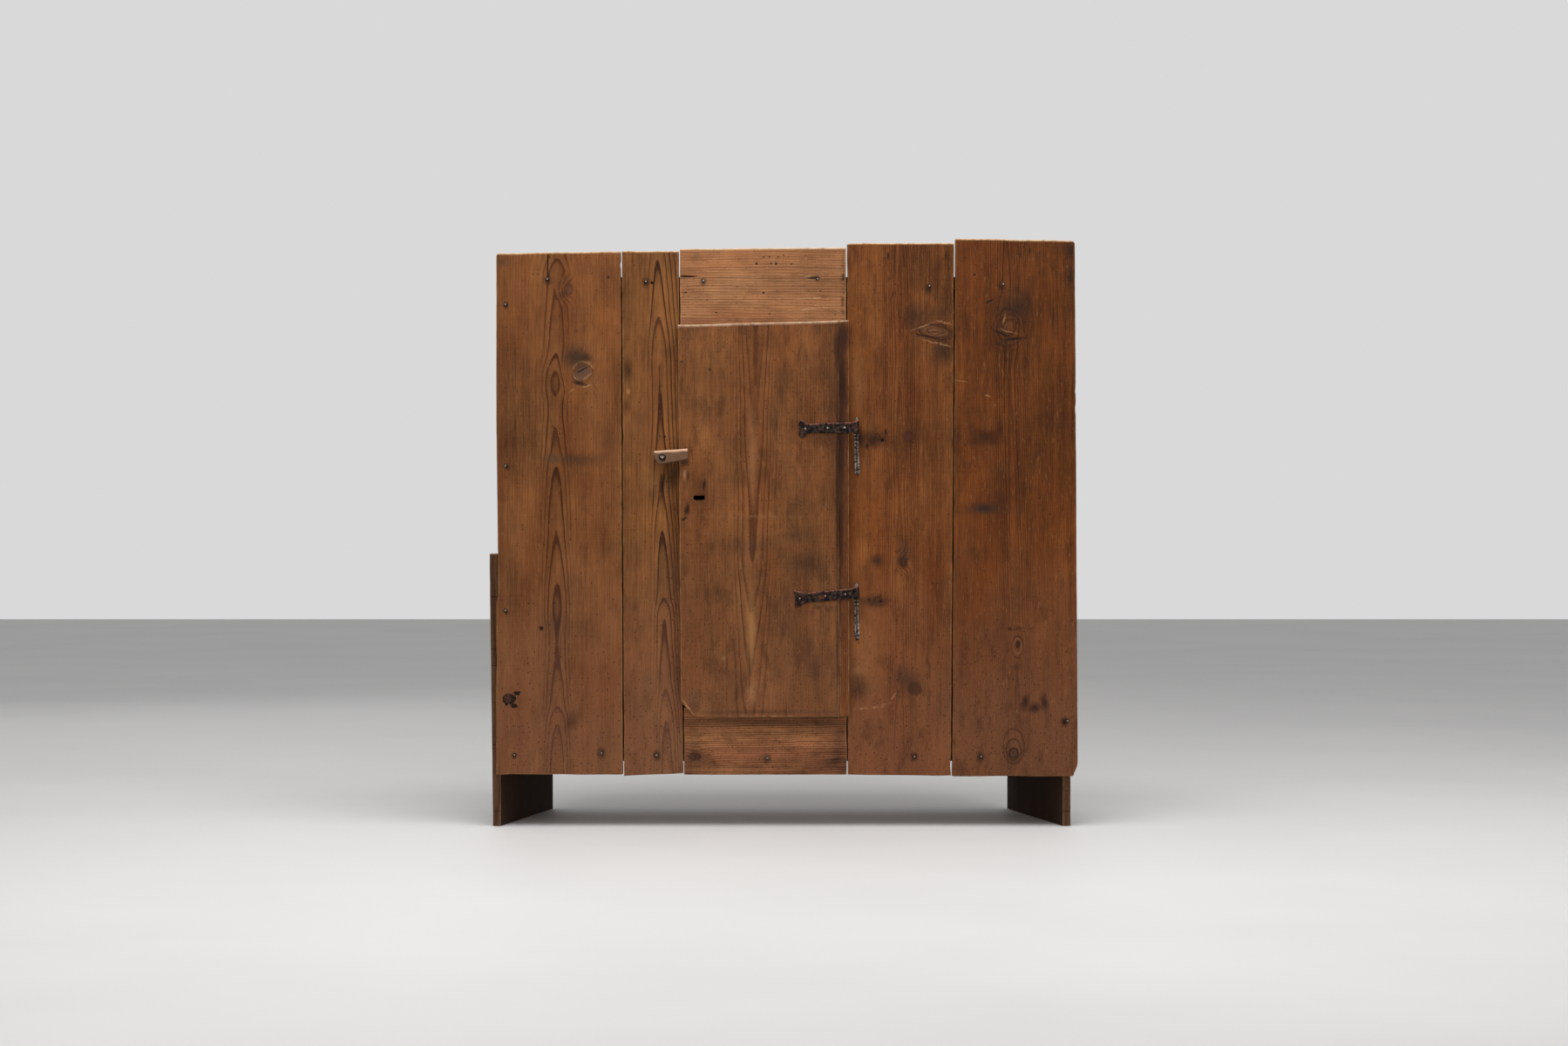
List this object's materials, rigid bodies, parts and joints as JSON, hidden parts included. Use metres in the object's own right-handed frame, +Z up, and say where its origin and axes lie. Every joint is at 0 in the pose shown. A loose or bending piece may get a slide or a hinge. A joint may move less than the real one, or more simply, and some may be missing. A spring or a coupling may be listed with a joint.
{
  "type": "cupboard",
  "caption": "Low rustic pine cupboard of uneven nailed planks with a narrow door on forged strap hinges and a wooden turn button.",
  "frame": {"origin": "on the floor, under the middle of the whole cupboard's box", "axes": "+Z up, +X to the right as seen from the front, +Y towards the back; the door faces -Y"},
  "size_m": [1.2174, 0.4832, 1.216],
  "materials": {
    "front_pine": "old waxed pine, worn and stained",
    "carcass_pine": "old dry pine, sawn and planed",
    "door_pine": "old waxed pine, handled and stained",
    "pale_pine": "paler waxed pine with worm holes",
    "button_wood": "bare greyed wood, whittled",
    "forged_iron": "hand-forged wrought iron with old rust",
    "nail_iron": "hand-forged nails, dark with rust"
  },
  "bodies": {
    "carcass": {"left_front_board": "front_pine", "latch_side_board": "front_pine", "top_rail": "pale_pine", "bottom_rail": "front_pine", "hinge_side_board": "front_pine", "right_front_board": "front_pine", "left_foot_plank": "carcass_pine", "left_side_board": "carcass_pine", "right_side_board": "carcass_pine", "bottom_shelf": "carcass_pine", "middle_shelf": "carcass_pine", "top_board": "carcass_pine", "left_shelf_cleat": "carcass_pine", "right_shelf_cleat": "carcass_pine", "back_board_1": "carcass_pine", "back_board_2": "carcass_pine", "back_board_3": "carcass_pine", "back_board_4": "carcass_pine", "back_board_5": "carcass_pine", "upper_hinge_pintle": "forged_iron", "lower_hinge_pintle": "forged_iron", "turn_button_nail": "nail_iron", "front_nails": "nail_iron", "back_nails": "nail_iron", "side_nails": "nail_iron", "foot_plank_nails": "nail_iron", "cleat_nails": "nail_iron", "pintle_nails": "nail_iron"},
    "door": {"door_board": "door_pine", "door_edge_strip": "door_pine", "upper_door_ledge": "door_pine", "lower_door_ledge": "door_pine", "upper_hinge_strap": "forged_iron", "lower_hinge_strap": "forged_iron", "ledge_nails": "nail_iron", "upper_strap_nails": "nail_iron", "lower_strap_nails": "nail_iron"},
    "turn_button": {"turn_button": "button_wood"}
  },
  "joints": [
    {"name": "door_swing", "type": "hinge", "parent": "carcass", "child": "door", "pos_m": [0.15055, -0.21994, 0.484], "axis": [0, 0, 1], "range_deg": [0, 170]},
    {"name": "turn_button_turn", "type": "hinge", "parent": "carcass", "child": "turn_button", "pos_m": [-0.24811, -0.2373, 0.763], "axis": [0, 1, 0], "continuous": true}
  ]
}
